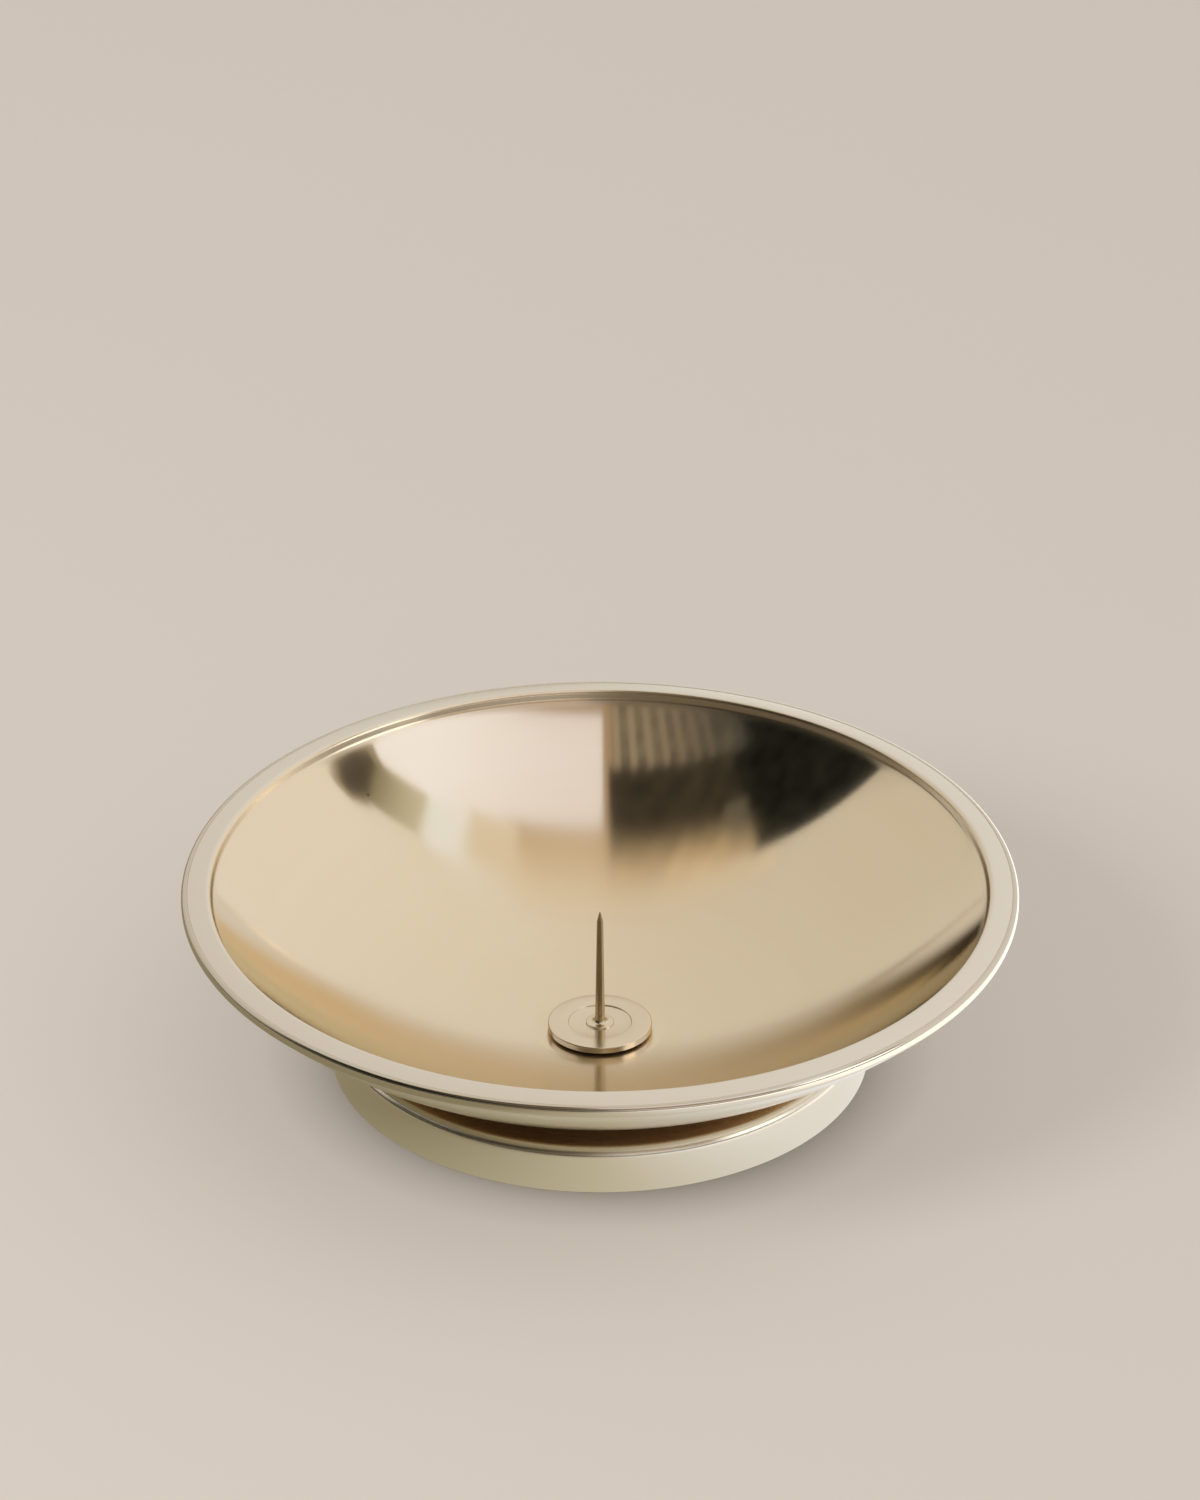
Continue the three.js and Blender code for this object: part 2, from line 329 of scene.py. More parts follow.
def blend(tree, mask, place, first, second):
    """Mixes two colours, each a tuple or another node's output, by a mask."""
    mix = new_node(tree, "ShaderNodeMix", place, data_type="RGBA")
    tree.links.new(mask, mix.inputs["Factor"])
    for name, colour in (("A", first), ("B", second)):
        socket = next(s for s in mix.inputs if s.name == name and s.type == "RGBA")
        if isinstance(colour, tuple):
            socket.default_value = (*colour, 1)
        else:
            tree.links.new(colour, socket)
    return next(s for s in mix.outputs if s.type == "RGBA")


def spun_brass(name, pale, deep, rough, line_width, line_depth, stretch):
    """Spun brass: rings from the tool, a satin that is drawn out across them, smudges and specks.

    Rough is the lowest and highest roughness, and stretch is how far the rings draw out a reflection.
    """
    material = bpy.data.materials.new(name)
    material.use_nodes = True
    tree = material.node_tree
    metal = tree.nodes["Principled BSDF"]
    metal.inputs["Metallic"].default_value = 1.0
    metal.inputs["Anisotropic"].default_value = stretch
    metal.inputs["Anisotropic Rotation"].default_value = 0.25
    rings = new_node(tree, "ShaderNodeGroup", (-1000, 200), node_tree=spin_lines)
    rings.inputs["Line Width"].default_value = line_width
    rings.inputs["Band Width"].default_value = lines_in_a_band * line_width
    rings.inputs["Wander"].default_value = ring_wander
    marks = new_node(tree, "ShaderNodeGroup", (-1000, -100), node_tree=handling)
    marks.inputs["Smudge Size"].default_value = smudge_size
    marks.inputs["Speck Spacing"].default_value = speck_spacing
    tint = blend(tree, rings.outputs["Bands"], (-700, 300), pale, deep)
    wear = map_range(tree, marks.outputs["Smudge"], (-900, 0), 0.0, smudge_strength)
    wiped = blend(tree, wear, (-500, 300), tint, deep)
    tarnish = tuple(tarnish_share * c for c in deep)
    spotted = map_range(tree, marks.outputs["Specks"], (-700, 0), 0.0, speck_strength)
    colour = blend(tree, spotted, (-300, 300), wiped, tarnish)
    sheen = map_range(tree, marks.outputs["Smudge"], (-700, -200), rough[0], rough[1])
    bump = new_node(tree, "ShaderNodeBump", (-500, -300))
    bump.inputs["Strength"].default_value = 1.0
    bump.inputs["Distance"].default_value = line_depth
    tangent = new_node(tree, "ShaderNodeTangent", (-500, -500), direction_type="RADIAL", axis="Z")
    link = tree.links.new
    link(rings.outputs["Lines"], bump.inputs["Height"])
    link(colour, metal.inputs["Base Color"])
    link(sheen, metal.inputs["Roughness"])
    link(bump.outputs["Normal"], metal.inputs["Normal"])
    link(tangent.outputs["Tangent"], metal.inputs["Tangent"])
    return material


def change_outwards(material, start, end, rough, colour=None):
    """Leads a surface over to another roughness, and another colour, between two distances from the axis.
    Some of these colours are painted light.
    """
    tree = material.node_tree
    metal = tree.nodes["Principled BSDF"]
    coords = new_node(tree, "ShaderNodeTexCoord", (-900, 700))
    level = new_node(tree, "ShaderNodeVectorMath", (-700, 700), operation="MULTIPLY")
    level.inputs[1].default_value = (1, 1, 0)
    distance = new_node(tree, "ShaderNodeVectorMath", (-500, 700), operation="LENGTH")
    beyond = new_node(tree, "ShaderNodeMapRange", (-300, 700), interpolation_type="SMOOTHSTEP")
    beyond.inputs["From Min"].default_value = start
    beyond.inputs["From Max"].default_value = end
    link = tree.links.new
    link(coords.outputs["Object"], level.inputs[0])
    link(level.outputs[0], distance.inputs[0])
    link(distance.outputs["Value"], beyond.inputs["Value"])
    if colour:
        own_colour = metal.inputs["Base Color"].links[0].from_socket
        new_colour = blend(tree, beyond.outputs["Result"], (-100, 500), own_colour, colour)
        link(new_colour, metal.inputs["Base Color"])
    own_rough = metal.inputs["Roughness"].links[0].from_socket
    mix = new_node(tree, "ShaderNodeMix", (-100, 100), data_type="FLOAT")
    link(beyond.outputs["Result"], mix.inputs["Factor"])
    link(own_rough, mix.inputs["A"])
    mix.inputs["B"].default_value = rough
    link(mix.outputs["Result"], metal.inputs["Roughness"])


flange_fall = math.radians(12)
seam_radius = rim_radius - bead_width
bead_centre = (rim_radius - bead_round, bead_top - bead_round)
bead_lower = (rim_radius - bead_round, bead_top - bead_round - bead_straight)
shell_radius, shell_centre, bead_start = bowl_curve(shell_flat, shell_under, bead_lower, bead_round)
shell_inside = shell_radius - shell_wall
ledge_radius = seam_radius - ledge_width
ledge_top = bead_top - ledge_drop
shell_floor = shell_under + shell_wall
shell_start = angle_at_height(shell_centre, shell_radius, shell_under)
ledge_angle = angle_at_radius(shell_inside, ledge_radius)
floor_angle = angle_at_height(shell_centre, shell_inside, shell_floor)
shell_section = [
    (shank_hole, shell_under),
    *arc((0, shell_centre), shell_radius, shell_start, bead_start, 60),
    *arc(bead_lower, bead_round, bead_start, 0, 8)[1:],
    *arc(bead_centre, bead_round, 0, math.pi / 2, 12),
    *arc((seam_radius + seam_edge, bead_top - seam_edge), seam_edge, math.pi / 2, math.pi, 5),
    (seam_radius, ledge_top),
    (ledge_radius, ledge_top + ledge_width * math.tan(flange_fall)),
    *arc((0, shell_centre), shell_inside, ledge_angle, floor_angle, 24),
    (shank_hole, shell_floor),
    (shank_hole, shell_under),
]
shell_brass = spun_brass("shell_pale_brass", shell_pale, shell_deep, shell_rough,
                         shell_line_width, shell_line_depth, shell_stretch)
# Painted light: towards the foot the underside turns rougher and takes an orange-brown painted glow of light
# bouncing in the crevice.
change_outwards(shell_brass, crevice_edge, crevice_inside, crevice_rough, shell_crevice_painted_glow)
shell = spun("shell", shell_section, bowl_sides, shell_brass)
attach(shell, "root")
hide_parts("outer_shell")


# Inner dish: the inside of the bowl, a second sheet of brass spun to a polished satin and laid in the shell.
# A small cove turns its edge up into a steep wall, which bends over at the lip into a flat pale flange, and
# the flange is soldered to the ledge behind the bead.
dish_low, dish_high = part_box("inner_dish")
lip_top = dish_high.z
dish_under = dish_low.z
dish_wall = 0.8 * MM
dish_floor = dish_under + dish_wall
dish_flat = 12 * MM
flange_width = 4.73 * MM
lip_bend = 0.2 * MM
lip_wall_length = 0.7 * MM
lip_wall_slope = math.radians(70)
cove_round = 1.6 * MM
seam_gap = 0.02 * MM
flange_edge_round = 0.05 * MM
dish_gold = (0.83, 0.72, 0.56)
dish_deep = (0.81, 0.69, 0.52)
dish_rough = (0.085, 0.10)
dish_line_width = 0.6 * MM
dish_line_depth = 0.0018 * MM
dish_stretch = 0.8
worn_edge = 62 * MM
worn_inside = 38 * MM
worn_rough = 0.17
cove_rough = 0.23
flange_pale = (0.80, 0.75, 0.665)
flange_rough = 0.2
lip_round = lip_bend + dish_wall
lip_centre = (rim_radius - flange_width, lip_top - lip_round)
lip_angle = math.pi / 2 + lip_wall_slope
flange_angle = math.pi / 2 - flange_fall
flange_edge = seam_radius - seam_gap
cove_reach = lip_round + cove_round
cove_out = cove_reach * math.cos(lip_angle) - lip_wall_length * math.sin(lip_angle)
cove_up = cove_reach * math.sin(lip_angle) + lip_wall_length * math.cos(lip_angle)
cove_centre = (lip_centre[0] + cove_out, lip_centre[1] + cove_up)
cove_end = lip_angle - math.pi
dish_radius, dish_centre, cove_start = bowl_curve(dish_flat, dish_floor, cove_centre, cove_round)
dish_outside = dish_radius + dish_wall


def flange_height(radius, depth):
    """Height of the flange at a radius, on a face that lies the given depth under its top."""
    edge = lip_centre[1] + (lip_round - depth) / math.cos(flange_fall)
    return edge - (radius - lip_centre[0]) * math.tan(flange_fall)


edge_radius = flange_edge - flange_edge_round
dish_under_start = angle_at_height(dish_centre, dish_outside, dish_under)
dish_floor_end = angle_at_height(dish_centre, dish_radius, dish_floor)
dish_section = [
    (shank_hole, dish_under),
    *arc((0, dish_centre), dish_outside, dish_under_start, cove_start, 30),
    *arc(cove_centre, cove_round + dish_wall, cove_start, cove_end, 8)[1:],
    *arc(lip_centre, lip_bend, lip_angle, flange_angle, 6),
    (flange_edge, flange_height(flange_edge, dish_wall)),
    *arc((edge_radius, flange_height(edge_radius, flange_edge_round)), flange_edge_round, 0, flange_angle, 5),
    *arc(lip_centre, lip_round, flange_angle, lip_angle, 16),
    *arc(cove_centre, cove_round, cove_end, cove_start, 10),
    *arc((0, dish_centre), dish_radius, cove_start, dish_floor_end, 90)[1:],
    (shank_hole, dish_floor),
    (shank_hole, dish_under),
]
pale_start = lip_centre[0] - 0.6 * lip_round
pale_end = lip_centre[0] - 0.3 * lip_round
dish_brass = spun_brass("dish_satin_brass", dish_gold, dish_deep, dish_rough,
                        dish_line_width, dish_line_depth, dish_stretch)
change_outwards(dish_brass, worn_edge, worn_inside, worn_rough)
change_outwards(dish_brass, cove_centre[0], cove_centre[0] + cove_round, cove_rough)
change_outwards(dish_brass, pale_start, pale_end, flange_rough, flange_pale)
dish = spun("dish", dish_section, bowl_sides, dish_brass)
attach(dish, "root")
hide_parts("inner_dish")


# Foot ring: a low ring spun from the same pale brass, open below, with a round shoulder and a folded hem.
# Its inner edge follows the underside of the shell, where a thin run of solder holds it.
foot_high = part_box("foot_ring")[1]
foot_radius = foot_high.x
foot_top = foot_high.z
foot_wall = 1.0 * MM
foot_draft = 0.2 * MM
foot_shoulder = 2.0 * MM
foot_top_width = 12.1 * MM
foot_seat = 5.0 * MM
foot_hem = 3.0 * MM
foot_edge = 0.4 * MM
solder_gap = 0.2 * MM
foot_pale = (0.80, 0.755, 0.68)
foot_deep = (0.77, 0.71, 0.60)
# The warm brown below is not the brass's own colour but a painted glow of light bouncing in the crevice under
# the shell.
foot_crevice_painted_glow = (0.80, 0.66, 0.46)
foot_rough = (0.20, 0.26)
foot_line_width = 1.0 * MM
foot_line_depth = 0.002 * MM
foot_stretch = 0.3
foot_painted_glow_edge = 49 * MM
foot_painted_glow_inside = 45 * MM
foot_crevice_rough = 0.34
seat_radius = shell_radius + solder_gap
seat_below = seat_radius + foot_wall
seat_outer = foot_radius - foot_top_width
seat_inner = seat_outer - foot_seat
seat_start = angle_at_radius(seat_radius, seat_outer)
seat_end = angle_at_radius(seat_radius, seat_inner)
seat_low_end = angle_at_height(shell_centre, seat_below, foot_top - foot_wall)
shoulder = (foot_radius - foot_draft - foot_shoulder, foot_top - foot_shoulder)
hem_round = foot_wall / 2
hem_centre = (foot_radius - foot_hem + hem_round, hem_round)
foot_section = [
    *arc((foot_radius - foot_edge, foot_edge), foot_edge, -math.pi / 2, 0, 6),
    *arc(shoulder, foot_shoulder, 0, math.pi / 2, 16),
    *arc((0, shell_centre), seat_radius, seat_start, seat_end, 8),
    *arc((0, shell_centre), seat_below, seat_end, seat_low_end, 8),
    *arc(shoulder, foot_shoulder - foot_wall, math.pi / 2, 0, 8),
    (foot_radius - foot_wall, foot_wall),
    *arc(hem_centre, hem_round, math.pi / 2, 3 * math.pi / 2, 10),
    (foot_radius - foot_edge, 0),
]
foot_brass = spun_brass("foot_pale_brass", foot_pale, foot_deep, foot_rough,
                        foot_line_width, foot_line_depth, foot_stretch)
# Painted light: the foot's top under the shell turns rougher and takes a warm brown painted glow of light
# bouncing in the crevice.
change_outwards(foot_brass, foot_painted_glow_edge, foot_painted_glow_inside, foot_crevice_rough, foot_crevice_painted_glow)
foot = spun("foot", foot_section, bowl_sides, foot_brass)
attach(foot, "root")
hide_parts("foot_ring")

solder_width = 1.1 * MM
solder_swell = 0.15 * MM
solder_short = 0.2 * MM
solder_uneven = 0.25 * MM
solder_flow = 4 * MM
solder_grey = (0.66, 0.64, 0.60)
solder_dull = (0.50, 0.47, 0.42)
solder_rough = (0.35, 0.5)
solder_line_width = 0.9 * MM
solder_line_depth = 0.02 * MM
solder_stretch = 0.0
solder_turn = solder_width / seat_radius
swell_start = seat_end - 0.6 * solder_turn
swell_end = seat_end - 0.35 * solder_turn
wall_start = seat_end - 0.08 * solder_turn
solder_section = [
    *arc((0, shell_centre), shell_radius, seat_end, seat_end - solder_turn, 3),
    *arc((0, shell_centre), seat_radius + solder_swell, swell_start, swell_end, 3),
    *arc((0, shell_centre), seat_below - solder_short, wall_start, seat_end, 2),
    (shell_radius * math.cos(seat_end), shell_centre + shell_radius * math.sin(seat_end)),
]
solder_metal = spun_brass("foot_solder", solder_grey, solder_dull, solder_rough,
                          solder_line_width, solder_line_depth, solder_stretch)
solder = spun("foot_solder", solder_section, bowl_sides, solder_metal)
for vertex in solder.data.vertices:
    flow = noise.noise(vertex.co / solder_flow)
    away = Vector((0, 0, shell_centre)) - vertex.co
    inward = Vector((-vertex.co.x, -vertex.co.y, 0)).normalized()
    free = min(1.0, max(0.0, (away.length - shell_radius) / foot_wall))
    vertex.co += inward * flow * solder_uneven * free
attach(solder, "root")


# Rivet washer: a thin brass washer under the shell's floor, stamped from sheet.
# The pin's shank passes through it and is hammered over on its face.
washer_low, washer_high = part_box("rivet_washer")
washer_radius = washer_high.x
washer_edge = 0.15 * MM
washer_tone = (0.72, 0.61, 0.43)
washer_deep = (0.60, 0.48, 0.31)
washer_rough = (0.32, 0.5)
washer_line_width = 0.3 * MM
washer_line_depth = 0.003 * MM
washer_stretch = 0.2
washer_sides = 128
washer_section = [
    (shank_hole, washer_low.z),
    *arc((washer_radius - washer_edge, washer_low.z + washer_edge), washer_edge, -math.pi / 2, 0, 4),
    *arc((washer_radius - washer_edge, washer_high.z - washer_edge), washer_edge, 0, math.pi / 2, 4),
    (shank_hole, washer_high.z),
    (shank_hole, washer_low.z),
]
washer_brass = spun_brass("washer_stamped_brass", washer_tone, washer_deep, washer_rough,
                          washer_line_width, washer_line_depth, washer_stretch)
washer = spun("washer", washer_section, washer_sides, washer_brass)
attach(washer, "root")
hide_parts("rivet_washer")


# Candle plate: a turned disc that the candle stands on, with a shallow round recess and a polished edge.
# It lies on the dish's flat floor, clamped there by the pin's collar, and a bevel below keeps its edge clear.
plate_low, plate_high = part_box("candle_plate")
plate_radius = plate_high.x
plate_top = plate_high.z
plate_edge = 0.25 * MM
undercut_width = 1.2 * MM
undercut_height = 0.5 * MM
recess_radius = 6.05 * MM
recess_depth = 0.25 * MM
recess_floor = plate_top - recess_depth
recess_round = 0.12 * MM
plate_pale = (0.83, 0.73, 0.59)
plate_deep = (0.77, 0.65, 0.49)
plate_rough = (0.20, 0.26)
plate_line_width = 0.35 * MM
plate_line_depth = 0.002 * MM
plate_stretch = 0.5
plate_sides = 192
plate_section = [
    (shank_hole, plate_low.z),
    (plate_radius - undercut_width, plate_low.z),
    (plate_radius, plate_low.z + undercut_height),
    *arc((plate_radius - plate_edge, plate_top - plate_edge), plate_edge, 0, math.pi / 2, 6),
    *arc((recess_radius + recess_round, plate_top - recess_round), recess_round, math.pi / 2, math.pi, 4),
    *arc((recess_radius - recess_round, recess_floor + recess_round), recess_round, 0, -math.pi / 2, 4),
    (shank_hole, recess_floor),
    (shank_hole, plate_low.z),
]
plate_brass = spun_brass("plate_turned_brass", plate_pale, plate_deep, plate_rough,
                         plate_line_width, plate_line_depth, plate_stretch)
plate = spun("plate", plate_section, plate_sides, plate_brass)
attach(plate, "root")
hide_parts("candle_plate")


# Candle pin: a brass spike turned to a point, with a collar that sits in the plate's recess.
# Its shank goes down through plate, dish, shell and washer, and its end is hammered over to clamp them.
pin_low, pin_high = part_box("candle_pin")
pin_tip = pin_high.z
pin_radius = 0.92 * MM
pin_top_radius = 0.63 * MM
point_length = 2.0 * MM
point_round = 0.15 * MM
collar_radius = 2.7 * MM
collar_height = 0.35 * MM
collar_top = recess_floor + collar_height
collar_round = 0.2 * MM
collar_fillet = 0.9 * MM
shank_radius = 1.2 * MM
head_radius = 2.3 * MM
head_crown = 0.5 * MM
head_top = washer_low.z
head_sphere = (head_radius ** 2 + head_crown ** 2) / (2 * head_crown)
head_centre = pin_low.z + head_sphere
pin_tone = (0.56, 0.46, 0.30)
pin_deep = (0.44, 0.35, 0.21)
pin_rough = (0.24, 0.32)
pin_line_width = 0.4 * MM
pin_line_depth = 0.002 * MM
pin_stretch = 0.3
pin_sides = 96
collar_pale = (0.80, 0.69, 0.53)
collar_start = 1.0 * MM
collar_full = 1.5 * MM
collar_rough = 0.24
point_taper = math.atan2(pin_top_radius - point_round, point_length - point_round)
pin_section = [
    *arc((0, head_centre), head_sphere, -math.pi / 2, angle_at_radius(head_sphere, head_radius), 10),
    (head_radius, head_top),
    (shank_radius, head_top),
    (shank_radius, recess_floor),
    (collar_radius, recess_floor),
    *arc((collar_radius - collar_round, collar_top - collar_round), collar_round, 0, math.pi / 2, 6),
    *arc((pin_radius + collar_fillet, collar_top + collar_fillet), collar_fillet, -math.pi / 2, -math.pi, 6),
    (pin_top_radius, pin_tip - point_length),
    *arc((0, pin_tip - point_round), point_round, point_taper, math.pi / 2, 6),
]
pin_brass = spun_brass("pin_turned_brass", pin_tone, pin_deep, pin_rough,
                       pin_line_width, pin_line_depth, pin_stretch)
change_outwards(pin_brass, collar_start, collar_full, collar_rough, collar_pale)
pin = spun("pin", pin_section, pin_sides, pin_brass)
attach(pin, "root")
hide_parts("candle_pin")


# Floor: a plain pale sheet of paper that the dish stands on, lit by a lamp at the front left.
# Part of its light is its own, so that the shadow under the bowl stays soft, with a painted contact shadow
# close under the foot. The metal mirrors a painted glow from it, brown to the left and white to the right,
# which stands in for a floor shaded to the left and lit to the right.
floor_half = 4.0
paper_rough = 0.9
paper_shine = 0.1
cloud_scale = 6.0
floor_pale = (0.60, 0.555, 0.52)
floor_grey = (0.59, 0.54, 0.505)
floor_seen = (0.64, 0.58, 0.52)
floor_seen_share = 0.4
# The floor's own light is darkened near the foot by a painted contact shadow.
contact_reach = 14 * MM
contact_strength = 2.2
painted_contact_shadow = (0.05, 0.042, 0.034)
# The metal sees the floor as a glowing painted reflection, brown to the left and white, brighter than white,
# to the right.
floor_painted_reflection_share = 0.9
floor_painted_reflection = (
    (-0.050, (0.30, 0.262, 0.155)),
    (0.0, (0.645, 0.60, 0.455)),
    (0.042, (1.0, 0.99, 0.97)),
    (0.070, (1.06, 1.04, 1.01)),
    (0.105, (1.8, 1.77, 1.71)),
)


def sheet(name, corners, material):
    """A flat stage sheet through the given corners."""
    mesh = bpy.data.meshes.new(name)
    mesh.from_pydata(corners, [], [tuple(range(len(corners)))])
    mesh.materials.append(material)
    stand = bpy.data.objects.new(name, mesh)
    bpy.context.scene.collection.objects.link(stand)
    return stand


floor_paper = bpy.data.materials.new("floor_paper")
floor_paper.use_nodes = True
ground = floor_paper.node_tree
paper = ground.nodes["Principled BSDF"]
paper.inputs["Roughness"].default_value = paper_rough
paper.inputs["Specular IOR Level"].default_value = paper_shine
paper_coords = new_node(ground, "ShaderNodeTexCoord", (-1000, 0))
paper_cloud = new_node(ground, "ShaderNodeTexNoise", (-700, 0))
paper_cloud.inputs["Scale"].default_value = cloud_scale
ground.links.new(paper_coords.outputs["Object"], paper_cloud.inputs["Vector"])
paper_tint = blend(ground, paper_cloud.outputs["Fac"], (-300, 0), floor_pale, floor_grey)
ground.links.new(paper_tint, paper.inputs["Base Color"])
# Painted reflection: what the metal sees of the floor glows with a colour that changes from left to right.
paper_across = new_node(ground, "ShaderNodeSeparateXYZ", (-800, -300))
ground.links.new(paper_coords.outputs["Object"], paper_across.inputs[0])
ramp_start = floor_painted_reflection[0][0]
ramp_end = floor_painted_reflection[-1][0]
paper_share = new_node(ground, "ShaderNodeMapRange", (-600, -300))
paper_share.inputs["From Min"].default_value = ramp_start
paper_share.inputs["From Max"].default_value = ramp_end
ground.links.new(paper_across.outputs["X"], paper_share.inputs["Value"])
paper_ramp = new_node(ground, "ShaderNodeValToRGB", (-400, -300))
stops = paper_ramp.color_ramp.elements
stops[0].color = (*floor_painted_reflection[0][1], 1)
stops[1].color = (*floor_painted_reflection[-1][1], 1)
for place, colour in floor_painted_reflection[1:-1]:
    stops.new((place - ramp_start) / (ramp_end - ramp_start)).color = (*colour, 1)
ground.links.new(paper_share.outputs["Result"], paper_ramp.inputs["Fac"])
floor_ray = new_node(ground, "ShaderNodeLightPath", (-400, 400))
glow = new_node(ground, "ShaderNodeEmission", (100, -200))
# Painted shadow: an occlusion test darkens the floor's own light close under the foot.
closeness = new_node(ground, "ShaderNodeAmbientOcclusion", (-600, -600))
closeness.inputs["Distance"].default_value = contact_reach
contact = new_node(ground, "ShaderNodeMath", (-400, -600), operation="POWER")
contact.inputs[1].default_value = contact_strength
ground.links.new(closeness.outputs["AO"], contact.inputs[0])
paper_seen_with_painted_shadow = blend(ground, contact.outputs[0], (-200, -600), painted_contact_shadow, floor_seen)
glow_tint = blend(ground, floor_ray.outputs["Is Camera Ray"], (-100, -200),
                  paper_ramp.outputs["Color"], paper_seen_with_painted_shadow)
ground.links.new(glow_tint, glow.inputs["Color"])
seen = new_node(ground, "ShaderNodeMath", (-200, 400), operation="MULTIPLY")
seen.inputs[1].default_value = floor_seen_share
ground.links.new(floor_ray.outputs["Is Camera Ray"], seen.inputs[0])
mirrored = new_node(ground, "ShaderNodeMath", (0, 400), operation="MULTIPLY_ADD")
mirrored.inputs[1].default_value = floor_painted_reflection_share
ground.links.new(floor_ray.outputs["Is Glossy Ray"], mirrored.inputs[0])
ground.links.new(seen.outputs[0], mirrored.inputs[2])
both = new_node(ground, "ShaderNodeMixShader", (300, 200))
ground.links.new(mirrored.outputs[0], both.inputs["Fac"])
ground.links.new(paper.outputs["BSDF"], both.inputs[1])
ground.links.new(glow.outputs["Emission"], both.inputs[2])
ground.links.new(both.outputs[0], ground.nodes["Material Output"].inputs["Surface"])
floor_corners = [(-floor_half, -floor_half, 0), (floor_half, -floor_half, 0),
                 (floor_half, floor_half, 0), (-floor_half, floor_half, 0)]
sheet("floor", floor_corners, floor_paper)


# Light: a soft warm room, paler to the right, brown to the left and dark in a low band on the camera's side,
# with a soft lamp at the front left. The metal also mirrors a window to the right and what hangs overhead: a
# white panel with a tan border, black flags and a screen of slats.
panel_height = 3.5
layer_gap = 0.02
blotch_scale = 4.0
blotch_detail = 3.0
blotch_spread = (0.35, 0.68)
room_left = (0.69, 0.64, 0.555)
room_right = (0.92, 0.88, 0.83)
room_dark = (0.02, 0.018, 0.012)
room_brown = (0.19, 0.15, 0.095)
dark_way = (-0.342, -0.94, 0)
dark_sides = (-0.47, -0.09)
dark_heights = (0.27, 0.18)
brown_way = (-0.766, -0.643, 0)
brown_sides = (0.42, 0.72)
brown_heights = (0.95, 0.80)
floor_line = (0.02, 0.06)
room_seen = (0.72, 0.67, 0.61)
panel_near = (0.93, 0.90, 0.97)
panel_far = (1.06, 1.08, 1.18)
border_tan = (0.42, 0.31, 0.20)
ceiling_tan = (0.62, 0.48, 0.30)
ceiling_cream = (0.81, 0.72, 0.57)
flag_black = (0.007, 0.008, 0.006)
flag_olive = (0.05, 0.05, 0.03)
flag_brown = (0.034, 0.029, 0.020)
flag_worn = (0.10, 0.085, 0.06)
flag_gap = (0.14, 0.125, 0.095)
slat_light = (0.38, 0.315, 0.24)
screen_near = (0.165, 0.14, 0.105)
screen_far = (0.075, 0.070, 0.060)
patch_white = (0.94, 1.0, 1.06)
spot_brown = (0.075, 0.06, 0.04)
spot_halo = (0.33, 0.27, 0.18)
tail_pale = (0.62, 0.58, 0.44)
tail_olive = (0.28, 0.25, 0.15)
window_white = (2.0, 1.97, 1.9)
lamp_white = (1.0, 0.97, 0.93)
lamp_width = 0.6
lamp_length = 0.5
lamp_power = 9.7
lamp_place = Vector((-0.9, -0.6, 0.8))
lamp_aim = Vector((0, 0, 0.02))


def fade(tree, source, place, start, end):
    """A soft mask that goes from 0 to 1 as the source goes from start to end."""
    step = new_node(tree, "ShaderNodeMapRange", place, interpolation_type="SMOOTHSTEP")
    step.inputs["From Min"].default_value = start
    step.inputs["From Max"].default_value = end
    tree.links.new(source, step.inputs["Value"])
    return step.outputs["Result"]


def glowing(name, colour, end_colour=None, axis="X", start=0.0, end=1.0, mottle=0.0):
    """Even light for a sheet, or light that changes along an axis.

    Start and end are shares of the sheet's height. Mottle is how far soft blotches darken and lighten it.
    """
    material = bpy.data.materials.new(name)
    material.use_nodes = True
    tree = material.node_tree
    tree.nodes.remove(tree.nodes["Principled BSDF"])
    light = new_node(tree, "ShaderNodeEmission", (0, 0))
    light.inputs["Color"].default_value = (*colour, 1)
    if end_colour:
        coords = new_node(tree, "ShaderNodeTexCoord", (-800, 0))
        apart = new_node(tree, "ShaderNodeSeparateXYZ", (-600, 0))
        tree.links.new(coords.outputs["Object"], apart.inputs[0])
        along = fade(tree, apart.outputs[axis], (-400, 0), start * panel_height, end * panel_height)
        tree.links.new(blend(tree, along, (-200, 0), colour, end_colour), light.inputs["Color"])
    if mottle:
        blotch_coords = new_node(tree, "ShaderNodeTexCoord", (-800, -300))
        blotches = new_node(tree, "ShaderNodeTexNoise", (-600, -300))
        blotches.inputs["Scale"].default_value = blotch_scale
        blotches.inputs["Detail"].default_value = blotch_detail
        tree.links.new(blotch_coords.outputs["Object"], blotches.inputs["Vector"])
        spread = new_node(tree, "ShaderNodeMapRange", (-400, -300))
        spread.inputs["From Min"].default_value = blotch_spread[0]
        spread.inputs["From Max"].default_value = blotch_spread[1]
        spread.inputs["To Min"].default_value = 1 - mottle
        spread.inputs["To Max"].default_value = 1 + 2 * mottle
        tree.links.new(blotches.outputs["Fac"], spread.inputs["Value"])
        tree.links.new(spread.outputs["Result"], light.inputs["Strength"])
    tree.links.new(light.outputs[0], tree.nodes["Material Output"].inputs["Surface"])
    return material


def overhead(name, corners, material, layer=0):
    """A sheet overhead that only the metal mirrors.

    Its corners are shares of its height, to the right of and behind the dish. A higher layer hangs lower.
    """
    level = panel_height - layer_gap * layer
    stand = sheet(name, [(x * level, y * level, level) for x, y in corners], material)
    stand.visible_diffuse = False
    stand.visible_shadow = False
    return stand


